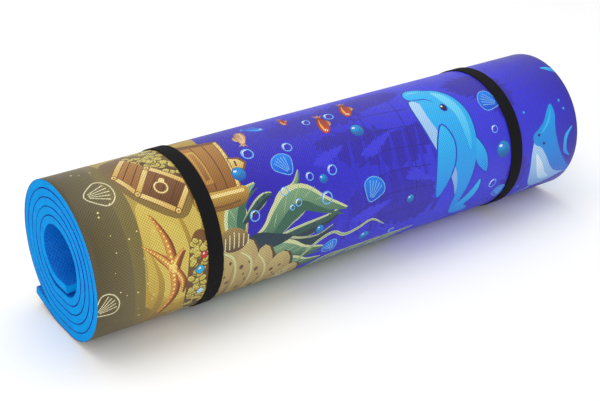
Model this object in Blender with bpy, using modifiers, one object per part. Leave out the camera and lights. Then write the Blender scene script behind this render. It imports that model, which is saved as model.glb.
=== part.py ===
"""A rolled closed-cell foam sleeping pad, held by two sewn elastic straps.

The pad is one long sheet of foam with a printed film on its outer face, wound into a spiral.
X runs along the roll, Y across it and Z up. The origin is at the middle of the roll's underside.
Run it with: blender --background --python part.py
"""

import math

import bmesh
import bpy
from mathutils import Vector
from mathutils.geometry import convex_hull_2d

# Driving dimensions, in metres and degrees.
PAD_LENGTH = 1.8
PAD_WIDTH = 0.6
FOAM_THICKNESS = 0.0076
FILM_THICKNESS = 0.0003
CLEARANCE = 0.0003

OUTER_RADIUS = 0.0814
WRAP_PITCH = 0.0086
TURNS = 5
STEP_DEG = 6
FLATTENING = 0.0042
FLAT_SPREAD_DEG = 23.0

TAIL_BEND_RADIUS = 0.105
TAIL_BEND_DEG = 13.0
TAIL_END_RADIUS = 0.6
TAIL_END_DEG = 3.0

TONGUE_RADIUS = 0.0345
TONGUE_START_DEG = 252

STRAP_WIDTH = 0.016
STRAP_THICKNESS = 0.0012
STRAP_CENTRES = {"left": -0.179, "right": 0.205}
STRAP_LAP_STEPS = 4
CORNER_STEP_DEG = 20.0

THREAD_RADIUS = 0.0004
STITCH_ROWS = 12
STITCH_SPAN = 0.0115
STITCH_ADVANCE = 0.0015

FILM_DEPTH = FILM_THICKNESS + CLEARANCE
MIDDLE_DEPTH = FILM_DEPTH + FOAM_THICKNESS / 2
LAP_HEIGHT = CLEARANCE + STRAP_THICKNESS + CLEARANCE
STITCH_HEIGHT = LAP_HEIGHT + STRAP_THICKNESS + CLEARANCE + THREAD_RADIUS
TWO_PI = 2 * math.pi

COLOURS = {
    "foam_pad": ((0.0, 0.33, 0.80, 1.0), 0.75),
    "printed_film": ((0.06, 0.04, 0.50, 1.0), 0.42),
    "strap": ((0.012, 0.012, 0.014, 1.0), 0.85),
    "stitching": ((0.03, 0.03, 0.035, 1.0), 0.7),
}


def outward(angle):
    """The outward normal of the roll at a winding angle: 0 faces down and a quarter turn faces -Y."""
    return Vector((-math.sin(angle), -math.cos(angle)))


def along(angle):
    """The winding direction, towards the core, at a winding angle."""
    return Vector((-math.cos(angle), math.sin(angle)))


def flattening(angle):
    """How far the wraps are pressed in near the floor, and how fast that changes with the angle."""
    spread = math.radians(FLAT_SPREAD_DEG)
    turned = math.remainder(angle, TWO_PI)
    depth = FLATTENING * math.exp(-abs(turned) / spread)
    return depth, math.copysign(depth / spread, turned)


def wrap_station(angle, entering=False):
    """A point on the printed face of a wrap, and its normal's angle.

    The support function keeps every wrap parallel to the next one, WRAP_PITCH apart.
    At the floor the wrap has a flat, whose first end is asked for with entering.
    """
    depth, slope = flattening(angle)
    if entering:
        slope = -slope
    distance = OUTER_RADIUS - WRAP_PITCH * angle / TWO_PI - depth
    change = slope - WRAP_PITCH / TWO_PI
    return distance * outward(angle) + change * along(angle), angle


def arc_stations(start, angles, radius):
    """Stations on an arc that leaves the start station tangentially."""
    point, first = start
    return [(point + radius * (outward(a) - outward(first)), a) for a in angles]


def tail_stations(root):
    """The free outer end, which springs away from the roll, listed from its root to its tip."""
    bend = [-math.radians(TAIL_BEND_DEG) * i / 3 for i in range(1, 4)]
    bent = arc_stations(root, bend, TAIL_BEND_RADIUS)
    end = [bend[-1] - math.radians(TAIL_END_DEG) * i / 2 for i in range(1, 3)]
    return bent + arc_stations(bent[-1], end, TAIL_END_RADIUS)


def wrap_stations(last_step):
    """The tight wraps, from the floor flat at the tail's root inwards, with a flat on each turn."""
    stations = []
    for step in range(last_step + 1):
        angle = math.radians(step * STEP_DEG)
        if step * STEP_DEG % 360 == 0:
            stations.append(wrap_station(angle, entering=True))
        stations.append(wrap_station(angle))
    return stations


def offset_point(station, depth):
    """The point at a depth below the printed face."""
    point, angle = station
    return point - depth * outward(angle)


def path_length(stations, depth):
    """The length of a path that runs at a depth below the printed face."""
    points = [offset_point(s, depth) for s in stations]
    return sum((b - a).length for a, b in zip(points, points[1:]))


def pad_stations():
    """The whole pad's section, from the tail's tip to the inner end, as PAD_LENGTH allows."""
    last_step = ((TURNS - 1) * 360 + TONGUE_START_DEG) // STEP_DEG
    wraps = wrap_stations(last_step)
    tail = tail_stations(wraps[0])
    tongue_steps = range(last_step + 1, TURNS * 360 // STEP_DEG + 1)
    tongue_angles = [math.radians(step * STEP_DEG) for step in tongue_steps]
    tongue = arc_stations(wraps[-1], tongue_angles, TONGUE_RADIUS)
    stations = tail[::-1] + wraps + tongue
    spare = PAD_LENGTH - path_length(stations, MIDDLE_DEPTH)
    point, angle = stations[-1]
    stations.append((point + spare * along(angle), angle))
    return stations


def belt_corners(stations):
    """The taut outline round the roll and its tail: (point, first normal, last normal) at each corner."""
    points = [point for point, _ in stations]
    hull = [points[i] for i in convex_hull_2d(points)]
    count = len(hull)
    normals = []
    for i in range(count):
        edge = (hull[(i + 1) % count] - hull[i]).normalized()
        normals.append(Vector((edge.y, -edge.x)))
    return [(hull[i], normals[i - 1], normals[i]) for i in range(count)]


def belt_stations(stations):
    """Points and offset directions of the belt, once round from the back, with sharp corners rounded."""
    belt = []
    for point, before, after in belt_corners(stations):
        turn = before.angle(after)
        steps = 1 + int(math.degrees(turn) // CORNER_STEP_DEG)
        if steps == 1:
            middle = (before + after).normalized()
            belt.append((point, middle / math.cos(turn / 2)))
            continue
        for i in range(steps + 1):
            share = i / steps
            belt.append((point, before.slerp(after, share)))
    first = min(range(len(belt)), key=lambda i: abs(belt[i][0].y) if belt[i][0].x > 0 else 1.0)
    return belt[first:] + belt[:first]


def belt_face(belt, height):
    """The outline of a face that lies at a height above the belt's resting surface."""
    return [point + height * normal for point, normal in belt]


def strap_points(belt):
    """The strap's inner face: once round the belt, then lapped over its own start."""
    return belt_face(belt, CLEARANCE) + belt_face(belt[:STRAP_LAP_STEPS + 1], LAP_HEIGHT)


def centring(belt):
    """The shift that puts the origin at the middle of the underside of the strapped roll."""
    strap_face = belt_face(belt, CLEARANCE + STRAP_THICKNESS)
    stitched_face = belt_face(belt[:STRAP_LAP_STEPS], STITCH_HEIGHT + THREAD_RADIUS)
    front = min(point.x for point in strap_face)
    back = max(point.x for point in strap_face + stitched_face)
    bottom = min(point.y for point in strap_face)
    return Vector((-(front + back) / 2, -bottom))


def material(name, key):
    """A plain Principled material with the part's colour and roughness."""
    colour, roughness = COLOURS[key]
    made = bpy.data.materials.new(name)
    made.use_nodes = True
    shader = made.node_tree.nodes["Principled BSDF"]
    shader.inputs["Base Color"].default_value = colour
    shader.inputs["Roughness"].default_value = roughness
    made.diffuse_color = colour
    return made


def ribbon(name, points, width, centre, thickness, shift, collection):
    """A strip whose section follows the points, swept along X. It grows thicker along its normals."""
    mesh = bpy.data.meshes.new(name)
    shape = bmesh.new()
    chain = [shape.verts.new((-width / 2, p.x + shift.x, p.y + shift.y)) for p in points]
    edges = [shape.edges.new(pair) for pair in zip(chain, chain[1:])]
    swept = bmesh.ops.extrude_edge_only(shape, edges=edges)["geom"]
    moved = [v for v in swept if isinstance(v, bmesh.types.BMVert)]
    bmesh.ops.translate(shape, verts=moved, vec=(width, 0, 0))
    shape.to_mesh(mesh)
    shape.free()
    strip = bpy.data.objects.new(name, mesh)
    strip.location.x = centre
    collection.objects.link(strip)
    solidify = strip.modifiers.new("Thickness", "SOLIDIFY")
    solidify.thickness = thickness
    solidify.offset = 1.0
    solidify.use_even_offset = True
    return strip


def face_towards(strip, section_point, direction):
    """Turns the strip's faces over unless the one nearest a point of its section looks in a direction."""
    place = Vector((0, section_point.x, section_point.y))
    nearest = min(strip.data.polygons, key=lambda face: (face.center - place).length)
    if nearest.normal.dot(Vector(direction)) < 0:
        strip.data.flip_normals()


def make_pad(stations, shift, collection):
    """The foam sheet and the film laminated to its outer face."""
    film_points = [point for point, _ in stations]
    foam_points = [offset_point(s, FILM_DEPTH) for s in stations]
    film = ribbon("printed_film", film_points, PAD_WIDTH, 0, FILM_THICKNESS, shift, collection)
    foam = ribbon("foam_pad", foam_points, PAD_WIDTH, 0, FOAM_THICKNESS, shift, collection)
    for strip in (film, foam):
        face_towards(strip, film_points[0] + shift, (0, 0, 1))
        strip.data.materials.append(material(strip.name, strip.name))
        strip.data.shade_smooth()


def make_strap(side, belt, shift, collection):
    """One elastic strap, lapped at the back of the roll."""
    name = "strap_" + side
    points = strap_points(belt)
    strap = ribbon(name, points, STRAP_WIDTH, STRAP_CENTRES[side], STRAP_THICKNESS, shift, collection)
    face_towards(strap, points[0] + shift, (0, 1, 0))
    strap.data.materials.append(material(name, "strap"))
    return strap


def stitch_points(belt, shift):
    """A zigzag seam across the lap, resting on the outer layer."""
    lap = [point + shift for point in belt_face(belt[:STRAP_LAP_STEPS], STITCH_HEIGHT)]
    lengths = [0.0]
    for a, b in zip(lap, lap[1:]):
        lengths.append(lengths[-1] + (b - a).length)
    points = []
    for row in range(STITCH_ROWS):
        reach = (lengths[-1] - STITCH_ADVANCE * (STITCH_ROWS - 1)) / 2 + row * STITCH_ADVANCE
        span = max(i for i, length in enumerate(lengths[:-1]) if length <= reach)
        share = (reach - lengths[span]) / (lengths[span + 1] - lengths[span])
        place = lap[span].lerp(lap[span + 1], share)
        side = STITCH_SPAN / 2 * (-1) ** row
        points.append((side, place.x, place.y))
    return points


def make_stitching(side, belt, shift, strap, collection):
    """The thread that holds the lap, as one continuous zigzag tube."""
    name = strap.name + "_stitching"
    curve = bpy.data.curves.new(name, "CURVE")
    curve.dimensions = "3D"
    curve.bevel_depth = THREAD_RADIUS
    curve.bevel_resolution = 2
    curve.use_fill_caps = True
    spline = curve.splines.new("POLY")
    points = stitch_points(belt, shift)
    spline.points.add(len(points) - 1)
    for target, point in zip(spline.points, points):
        target.co = (*point, 1.0)
    thread = bpy.data.objects.new(name, curve)
    thread.parent = strap
    curve.materials.append(material(name, "stitching"))
    collection.objects.link(thread)


def clear_scene():
    """Starts from an empty scene."""
    for item in list(bpy.data.objects):
        bpy.data.objects.remove(item)


def main():
    clear_scene()
    collection = bpy.data.collections.new("foam_sleeping_pad")
    bpy.context.scene.collection.children.link(collection)
    stations = pad_stations()
    belt = belt_stations(stations)
    shift = centring(belt)
    make_pad(stations, shift, collection)
    for side in STRAP_CENTRES:
        strap = make_strap(side, belt, shift, collection)
        make_stitching(side, belt, shift, strap, collection)


main()
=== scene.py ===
"""The finished look of a rolled foam sleeping pad with a printed film, held by two elastic straps.

X runs along the roll, Y across it and Z up, in metres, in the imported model's own frame.
The pad is one sheet in a spiral. A place on its printed face is given by X and by the distance
along the sheet from the tip of its free outer end. The print is drawn flat, in millimetres:
x along the roll, and v up the front of the roll, with PRINT_MIDDLE at the middle of the front.
"""

import math
from collections import namedtuple

import bpy
import numpy as np
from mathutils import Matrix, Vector
from mathutils.geometry import convex_hull_2d, delaunay_2d_cdt


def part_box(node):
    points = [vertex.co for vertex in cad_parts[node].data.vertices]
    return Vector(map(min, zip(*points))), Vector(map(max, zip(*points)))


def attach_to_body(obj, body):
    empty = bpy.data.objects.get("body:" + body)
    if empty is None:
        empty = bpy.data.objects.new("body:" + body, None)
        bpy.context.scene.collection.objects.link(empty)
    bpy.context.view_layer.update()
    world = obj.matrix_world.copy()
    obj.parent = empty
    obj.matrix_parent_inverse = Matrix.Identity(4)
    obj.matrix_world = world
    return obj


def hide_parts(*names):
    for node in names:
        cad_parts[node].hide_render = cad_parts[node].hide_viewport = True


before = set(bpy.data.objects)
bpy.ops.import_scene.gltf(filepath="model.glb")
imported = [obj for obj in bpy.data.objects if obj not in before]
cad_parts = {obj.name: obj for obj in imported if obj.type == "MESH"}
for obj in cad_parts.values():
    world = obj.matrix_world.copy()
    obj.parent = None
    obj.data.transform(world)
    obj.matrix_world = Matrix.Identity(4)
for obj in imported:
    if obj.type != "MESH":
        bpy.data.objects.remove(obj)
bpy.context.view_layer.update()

# The pad and its spiral, in metres and degrees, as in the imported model.
PAD_LENGTH = 1.8
PAD_WIDTH = 0.6
FOAM_THICKNESS = 0.0076
FILM_THICKNESS = 0.0003
CLEARANCE = 0.0003
OUTER_RADIUS = 0.0814
WRAP_PITCH = 0.0086
TURNS = 5
STEP_DEG = 3
FLATTENING = 0.0042
FLAT_SPREAD_DEG = 23.0
TAIL_BEND_RADIUS = 0.105
TAIL_BEND_DEG = 13.0
TAIL_END_RADIUS = 0.6
TAIL_END_DEG = 3.0
TAIL_STEPS = 10
TONGUE_RADIUS = 0.0345
TONGUE_START_DEG = 252
TONGUE_END_STEPS = 6
MIDDLE_DEPTH = FILM_THICKNESS + CLEARANCE + FOAM_THICKNESS / 2
TWO_PI = 2 * math.pi

# The visible layers of the sheet.
SKIN_THICKNESS = 0.00014
FOAM_TOP = 0.00016
FOAM_BOTTOM = 0.0082
FOAM_EDGE_RADIUS = 0.0006
FOAM_THINNING = 0.00022
END_WAVINESS = 0.00045
WAVES_PER_METRE = (3.1, 7.7, 13.3)
EMBOSS_PITCH = 0.0021
FOAM_RINGS = 760
FOAM_SPANS = 12
INNER_FILM_RINGS = 420
SEAM_GAP = 0.0003

# The straps and their seams.
STRAP_WIDTH = 0.016
STRAP_THICKNESS = 0.0012
STRAP_CENTRES = {"left": -0.179, "right": 0.205}
STRAP_STEP = 0.0035
STRAP_EDGE = 0.0004
STRAP_END_WIDTH = 0.985
STRAP_RIBS = 11
RIB_DEPTH = 0.00016
LAP_LENGTH = 0.0335
LAP_RISE_LENGTH = 0.012
CORNER_STEP_DEG = 4.0
THREAD_RADIUS = 0.0004
STITCH_ROWS = 12
STITCH_SPAN = 0.0115
STITCH_ADVANCE = 0.0015
STITCH_LEAD = 0.0045
STITCH_DIP = 0.0005

# The printed sheet's grid, in millimetres, and where it lies.
MM = 0.001
PRINT_MIDDLE = 126.5
GRID_ALONG = 6.0
GRID_ROUND = 3.4
SEAM_DEG = 376
HALF_WIDTH = 1000 * PAD_WIDTH / 2
MERGE_DISTANCE = 0.01
TRIANGLES_INSIDE = 1
PRINT_SEED = 11
X_AXIS, V_AXIS = 0, 1

# The camera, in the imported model's frame.
CAMERA_PLACE = (-0.6614, -0.8995, 0.6029)
CAMERA_YAW_DEG = 35.11
CAMERA_PITCH_DEG = 26.15
CAMERA_LENS_MM = 70.35

# The studio.
ROOM_BRIGHTNESS = 0.85
FLOOR_REACH = 12.0
FLOOR_HEIGHT = -0.0003

Shape = namedtuple("Shape", "outline low high axis")

# The print's inks, as 8-bit sRGB.
INKS = {
    "water_left": (40, 22, 168),
    "water_mid": (48, 42, 210),
    "water_right": (56, 56, 222),
    "water_deep": (42, 30, 168),
    "shadow": (44, 30, 176),
    "shadow_line": (34, 24, 140),
    "glow": (58, 54, 220),
    "olive": (112, 100, 62),
    "olive_dark": (76, 66, 38),
    "olive_edge": (122, 108, 58),
    "sand": (188, 154, 58),
    "sand_pale": (212, 188, 88),
    "sand_dark": (138, 112, 50),
    "speck": (232, 214, 140),
    "star": (210, 146, 64),
    "star_deep": (178, 96, 42),
    "star_dark": (118, 66, 30),
    "star_ridge": (246, 220, 120),
    "wood": (142, 90, 36),
    "wood_dark": (92, 54, 24),
    "wood_pale": (184, 130, 54),
    "brass": (210, 168, 72),
    "brass_pale": (236, 212, 138),
    "brass_dark": (124, 82, 34),
    "coin": (192, 172, 72),
    "coin_dark": (104, 84, 34),
    "coin_pale": (224, 210, 118),
    "turquoise": (20, 170, 210),
    "ruby": (196, 48, 40),
    "ice": (176, 214, 232),
    "leaf": (126, 166, 124),
    "leaf_vein": (146, 180, 132),
    "leaf_dark": (56, 100, 80),
    "leaf_deep": (32, 56, 70),
    "leaf_pale": (206, 212, 158),
    "stem": (130, 156, 116),
    "rock": (160, 134, 78),
    "rock_pale": (192, 172, 112),
    "rock_dark": (84, 62, 46),
    "rock_spot": (118, 92, 60),
    "moss": (112, 134, 92),
    "teal": (16, 150, 206),
    "teal_dark": (18, 84, 168),
    "foam_white": (236, 240, 250),
    "bubble_blue": (110, 178, 240),
    "azure": (10, 132, 240),
    "azure_dark": (18, 74, 206),
    "fish_red": (206, 70, 26),
    "fish_dark": (128, 34, 22),
    "fish_gold": (244, 176, 66),
    "fish_cream": (236, 200, 150),
    "fish_brown": (160, 96, 58),
    "dolphin": (40, 190, 246),
    "dolphin_mid": (22, 142, 236),
    "dolphin_line": (32, 60, 196),
    "dolphin_shine": (120, 218, 250),
    "belly": (176, 218, 248),
    "belly_shade": (124, 170, 230),
    "ray": (10, 164, 240),
    "ray_dark": (16, 104, 214),
    "ink": (18, 20, 54),
    "outline": (222, 214, 168),
}


# ---------------------------------------------------------------- the spiral

def outward(angle):
    """The outward normal of the roll at a winding angle: 0 faces down and a quarter turn faces -Y."""
    return Vector((-math.sin(angle), -math.cos(angle)))


def along(angle):
    """The winding direction, towards the core, at a winding angle."""
    return Vector((-math.cos(angle), math.sin(angle)))


def flattening(angle):
    """How far the wraps are pressed in near the floor, and how fast that changes with the angle."""
    spread = math.radians(FLAT_SPREAD_DEG)
    from_floor = math.remainder(angle, TWO_PI)
    depth = FLATTENING * math.exp(-abs(from_floor) / spread)
    return depth, math.copysign(depth / spread, from_floor)


def wrap_station(angle, entering=False):
    """A point on the printed face of a wrap, and its normal's angle. Each floor flat has two ends."""
    depth, slope = flattening(angle)
    if entering:
        slope = -slope
    distance = OUTER_RADIUS - WRAP_PITCH * angle / TWO_PI - depth
    change = slope - WRAP_PITCH / TWO_PI
    return distance * outward(angle) + change * along(angle), angle


def arc_stations(start, angles, radius):
    """Stations on an arc that leaves the start station tangentially."""
    point, first = start
    return [(point + radius * (outward(a) - outward(first)), a) for a in angles]


def tail_stations(root):
    """The free outer end, listed from its root to its tip."""
    bend = [-math.radians(TAIL_BEND_DEG) * i / TAIL_STEPS for i in range(1, TAIL_STEPS + 1)]
    bent = arc_stations(root, bend, TAIL_BEND_RADIUS)
    end = [bend[-1] - math.radians(TAIL_END_DEG) * i / TAIL_STEPS for i in range(1, TAIL_STEPS + 1)]
    return bent + arc_stations(bent[-1], end, TAIL_END_RADIUS)


def wrap_stations(last_step):
    """The tight wraps, from the floor flat at the tail's root inwards."""
    stations = []
    for step in range(last_step + 1):
        angle = math.radians(step * STEP_DEG)
        if step * STEP_DEG % 360 == 0:
            stations.append(wrap_station(angle, entering=True))
        stations.append(wrap_station(angle))
    return stations


def pad_stations():
    """The whole pad's section, from the tail's tip to the inner end, as PAD_LENGTH allows."""
    last_step = ((TURNS - 1) * 360 + TONGUE_START_DEG) // STEP_DEG
    wraps = wrap_stations(last_step)
    tongue_steps = range(last_step + 1, TURNS * 360 // STEP_DEG + 1)
    tongue = arc_stations(wraps[-1], [math.radians(step * STEP_DEG) for step in tongue_steps],
                          TONGUE_RADIUS)
    stations = tail_stations(wraps[0])[::-1] + wraps + tongue
    middle = [point - MIDDLE_DEPTH * outward(angle) for point, angle in stations]
    spare = PAD_LENGTH - sum((b - a).length for a, b in zip(middle, middle[1:]))
    point, angle = stations[-1]
    ends = [point + spare * i / TONGUE_END_STEPS * along(angle) for i in range(1, TONGUE_END_STEPS + 1)]
    return stations + [(end, angle) for end in ends]


class Section:
    """The printed face's line across the roll, looked up by distance from the tail's tip."""

    def __init__(self, stations, shift):
        self.points = np.array([point + shift for point, _ in stations])
        self.angles = np.array([angle for _, angle in stations])
        steps = np.linalg.norm(np.diff(self.points, axis=0), axis=1)
        self.distances = np.concatenate([[0.0], np.cumsum(steps)])
        self.length = self.distances[-1]

    def distance_at(self, angle):
        """How far along the sheet a winding angle lies."""
        return float(np.interp(angle, self.angles, self.distances))

    def place(self, distance, depth):
        """The y and z of points at distances along the sheet and depths below its printed face."""
        angle = np.interp(distance, self.distances, self.angles)
        y = np.interp(distance, self.distances, self.points[:, 0]) + depth * np.sin(angle)
        z = np.interp(distance, self.distances, self.points[:, 1]) + depth * np.cos(angle)
        return y, z


def belt_line(stations):
    """The taut outline round the roll and its tail, from the back: points and outward directions."""
    points = [point for point, _ in stations]
    hull = [points[i] for i in convex_hull_2d(points)]
    normals = []
    for a, b in zip(hull, hull[1:] + hull[:1]):
        edge = (b - a).normalized()
        normals.append(Vector((edge.y, -edge.x)))
    belt = []
    for i, point in enumerate(hull):
        before, after = normals[i - 1], normals[i]
        steps = 1 + int(math.degrees(before.angle(after)) // CORNER_STEP_DEG)
        belt += [(point, before.slerp(after, k / steps)) for k in range(steps + 1)]
    first = min(range(len(belt)), key=lambda i: abs(belt[i][0].y) if belt[i][0].x > 0 else 1.0)
    return belt[first:] + belt[:first]


# ---------------------------------------------------------------- mesh helpers

def mesh_object(name, vertices, faces, smooth=True):
    """A mesh object from arrays of vertices and lists of faces."""
    mesh = bpy.data.meshes.new(name)
    mesh.from_pydata([tuple(v) for v in vertices], [], [tuple(f) for f in faces])
    if smooth:
        mesh.shade_smooth()
    else:
        mesh.shade_flat()
    made = bpy.data.objects.new(name, mesh)
    bpy.context.scene.collection.objects.link(made)
    return made


def add_uv(mesh, places):
    """A UV map in metres from one (u, v) row per vertex."""
    layer = mesh.uv_layers.new(name="metres")
    corners = np.zeros(len(mesh.loops), np.int32)
    mesh.loops.foreach_get("vertex_index", corners)
    layer.data.foreach_set("uv", np.asarray(places, np.float32)[corners].ravel())


def loft(rings):
    """Faces that join closed rings of equal size one after another, with both ends capped."""
    count, size = len(rings), len(rings[0])
    faces = []
    for i in range(count - 1):
        for j in range(size):
            k = (j + 1) % size
            faces.append((i * size + j, i * size + k, (i + 1) * size + k, (i + 1) * size + j))
    faces.append(tuple(range(size))[::-1])
    faces.append(tuple((count - 1) * size + j for j in range(size)))
    return faces


def waviness(distance, phase):
    """A slow, smooth wander between about -1 and 1."""
    waves = [np.sin(TWO_PI * f * distance + phase * (i + 1)) for i, f in enumerate(WAVES_PER_METRE)]
    return sum(waves) / len(waves)


# ---------------------------------------------------------------- drawing helpers

def curve(points, closed=True, steps=4):
    """A smooth line through the points, by Catmull-Rom."""
    points = [np.array(p, float) for p in points]
    count = len(points)
    line = []
    for i in range(count if closed else count - 1):
        if closed:
            a, b, c, d = (points[(i + k) % count] for k in (-1, 0, 1, 2))
        else:
            a, b, c, d = (points[min(max(i + k, 0), count - 1)] for k in (-1, 0, 1, 2))
        for k in range(steps):
            t = k / steps
            line.append(0.5 * (2 * b + (c - a) * t + (2 * a - 5 * b + 4 * c - d) * t * t
                               + (3 * b - 3 * c + d - a) * t ** 3))
    if not closed:
        line.append(points[-1])
    return np.array(line)


def shape(outline, low, high=None, axis=V_AXIS):
    """A flat patch of ink. Its ink runs from low to high along an axis."""
    return Shape(np.array(outline, float), low, high or low, axis)


def blob(points, low, high=None, axis=V_AXIS):
    """A patch with a smooth outline."""
    return shape(curve(points), low, high, axis)


def directions(line):
    """Unit tangents of a line of points."""
    tangents = np.gradient(line, axis=0)
    return tangents / np.maximum(np.linalg.norm(tangents, axis=1), 1e-9)[:, None]


def stroke(points, widths, low, high=None, axis=V_AXIS, steps=4):
    """A brush stroke along a smooth line. Its width runs through the widths in turn."""
    line = curve(points, closed=False, steps=steps)
    tangents = directions(line)
    sides = np.column_stack([-tangents[:, 1], tangents[:, 0]])
    spread = np.interp(np.linspace(0, 1, len(line)), np.linspace(0, 1, len(widths)), widths)[:, None] / 2
    return shape(np.vstack([line + sides * spread, (line - sides * spread)[::-1]]), low, high, axis)


def grown(points, by, low, high=None):
    """A smooth patch whose outline lies outside the given one, for an inked edge."""
    line = curve(points)
    tangents = np.roll(line, -1, axis=0) - np.roll(line, 1, axis=0)
    tangents /= np.maximum(np.linalg.norm(tangents, axis=1), 1e-9)[:, None]
    area = np.sum(line[:, 0] * np.roll(line[:, 1], -1) - np.roll(line[:, 0], -1) * line[:, 1])
    turn = math.copysign(by, area)
    return shape(line + turn * np.column_stack([tangents[:, 1], -tangents[:, 0]]), low, high)


def ragged(points, depth, low, high):
    """A patch whose smooth outline is broken into uneven tongues."""
    line = curve(points, steps=8)
    centre = line.mean(axis=0)
    steps = np.arange(len(line))
    tongues = np.sin(steps * 1.9) + np.sin(steps * 3.7 + 1)
    push = 1 + depth * tongues / np.linalg.norm(line - centre, axis=1)
    return shape(centre + (line - centre) * push[:, None], low, high)


def oval(x, v, half_x, half_v, low, high=None, turn_deg=0.0, corners=16):
    """An elliptical patch."""
    angles = np.arange(corners) * TWO_PI / corners
    flat = np.column_stack([half_x * np.cos(angles), half_v * np.sin(angles)])
    return shape(turned(flat, turn_deg) + (x, v), low, high)


def disc(x, v, radius, low, high=None, corners=14):
    """A round patch."""
    return oval(x, v, radius, radius, low, high, corners=corners)


def ring(x, v, radius, width, ink):
    """A round line, in two halves."""
    halves = []
    for start in (0.0, math.pi):
        arc = [(x + radius * math.cos(start + a), v + radius * math.sin(start + a))
               for a in np.linspace(0, math.pi, 7)]
        halves.append(stroke(arc, [width], ink, steps=2))
    return halves


def turned(points, degrees):
    """Points turned about their origin."""
    c, s = math.cos(math.radians(degrees)), math.sin(math.radians(degrees))
    points = np.array(points, float)
    return np.column_stack([c * points[:, 0] - s * points[:, 1], s * points[:, 0] + c * points[:, 1]])


def placed(points, x, v, size, degrees=0.0):
    """A unit outline, sized, turned and moved onto the print."""
    return turned(np.array(points, float) * size, degrees) + (x, v)


# ---------------------------------------------------------------- the print's motifs

def wavy_band(left, right, low_v, high_v, sway, waves, low, high, axis=V_AXIS):
    """A band up the whole print, with an uneven right edge."""
    heights = np.linspace(low_v, high_v, 60)
    edge = right + sway * np.sin(TWO_PI * waves * heights / 500) + 0.6 * sway * np.sin(heights / 23)
    outline = [(left, low_v)] + list(zip(edge, heights)) + [(left, high_v)]
    return shape(outline, low, high, axis)


def seabed(low_v, high_v):
    """The sand at the left end, with its olive border and dunes."""
    left = -HALF_WIDTH - 5
    bed = [wavy_band(left, -146, low_v, high_v, 5, 4, "sand_dark", "sand", X_AXIS),
           wavy_band(left, -190, low_v, high_v, 7, 3, "sand_dark", "sand_pale", X_AXIS)]
    bed.append(blob([(-246, 190), (-232, 196), (-204, 176), (-190, 142), (-192, 96), (-206, 72),
                     (-232, 66), (-248, 88), (-249, 140)], "sand", "sand_pale"))
    bed.append(blob([(-240, 168), (-224, 176), (-206, 158), (-200, 120), (-210, 92), (-230, 98),
                     (-240, 130)], "sand_pale"))
    bed.append(blob([(-256, 112), (-240, 102), (-216, 84), (-186, 92), (-150, 84), (-150, -8),
                     (-256, -8)], "sand_dark", "sand"))
    bed.append(blob([(-256, 92), (-234, 76), (-206, 64), (-170, 70), (-150, 62), (-150, -8), (-256, -8)],
                    "sand_dark"))
    bed.append(stroke([(-214, 194), (-206, 168), (-202, 130), (-204, 96)], [1, 4, 5, 1], "sand_dark",
                      "sand"))
    bed.append(stroke([(-244, 150), (-236, 118), (-240, 84), (-248, 60)], [1, 6, 8, 2], "sand_dark",
                      "sand"))
    for v in range(int(low_v) + 10, int(high_v), 34):
        if not 60 < v < 200:
            bed.append(stroke([(-240, v), (-216, v + 9), (-188, v + 6), (-160, v + 12)], [1, 7, 6, 1],
                              "sand", "sand_pale"))
            bed.append(stroke([(-232, v + 16), (-208, v + 22), (-178, v + 18)], [1, 5, 1], "sand_dark",
                              "sand"))
    bed.append(wavy_band(left, -250, low_v, high_v, 1.6, 3, "olive_edge", "olive_edge"))
    bed.append(wavy_band(left, -262, low_v, high_v, 2.4, 2, "olive_dark", "olive", X_AXIS))
    return bed


def specks(low_v, high_v, random):
    """Small pale grains that drift over the olive border."""
    grains = []
    for _ in range(90):
        x, v = random.uniform(-282, -232), random.uniform(low_v + 4, high_v - 4)
        grains.append(disc(x, v, random.uniform(0.4, 1.1), "speck", corners=7))
    return grains


def starfish(x, v, tips, width):
    """A starfish with a dark shadow and a pale beaded ridge down each arm: (x, v, bend) at each tip."""
    arms = [[(x, v), ((x + tip_x) / 2 + bend, (v + tip_v) / 2), (tip_x, tip_v)]
            for tip_x, tip_v, bend in tips]
    parts = []
    for arm in arms:
        shade = [(px + 2.4 - i * 0.4, pv - 2.7 + i * 0.4) for i, (px, pv) in enumerate(arm)]
        parts.append(stroke(shade, [width, width * 0.85, 1], "star_dark"))
    for arm in arms:
        parts.append(stroke(arm, [width * 0.95, width * 0.72, 1.2], "star_deep"))
        parts.append(stroke([(px - 0.8, pv + 0.6) for px, pv in arm], [width * 0.7, width * 0.46, 0.8],
                            "star"))
    parts.append(disc(x, v, width * 0.5, "star", "star_ridge"))
    for arm in arms:
        line = curve(arm, closed=False, steps=6)
        for i, (px, pv) in enumerate(line[1:-1]):
            parts.append(disc(px, pv, 1.5 - i * 0.09, "star_ridge", corners=8))
    return parts


def coin_heap(x_range, v_range, count, random, radius=4.4):
    """A heap of coins seen at slants, each with a dark rim and a bright face."""
    coins = []
    for _ in range(count):
        x, v = random.uniform(*x_range), random.uniform(*v_range)
        size, turn = radius * random.uniform(0.8, 1.1), random.uniform(-40, 40)
        coins.append(oval(x, v, size, size * 0.72, "coin_dark", turn_deg=turn, corners=14))
        coins.append(oval(x - 0.3, v + 0.6, size * 0.82, size * 0.56, "coin", "coin_pale", turn, 14))
        coins.append(oval(x - 0.3, v + 0.6, size * 0.5, size * 0.32, "coin", turn_deg=turn, corners=10))
    return coins


def gem(x, v, size, ink):
    """A cut stone with a bright facet."""
    facet = [(x - size * 0.5, v + size * 0.1), (x, v + size * 0.75), (x + size * 0.3, v + size * 0.2)]
    return [disc(x, v, size * 1.15, "rock_dark", corners=8), disc(x, v, size, ink, corners=8),
            shape(facet, "foam_white")]


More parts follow.
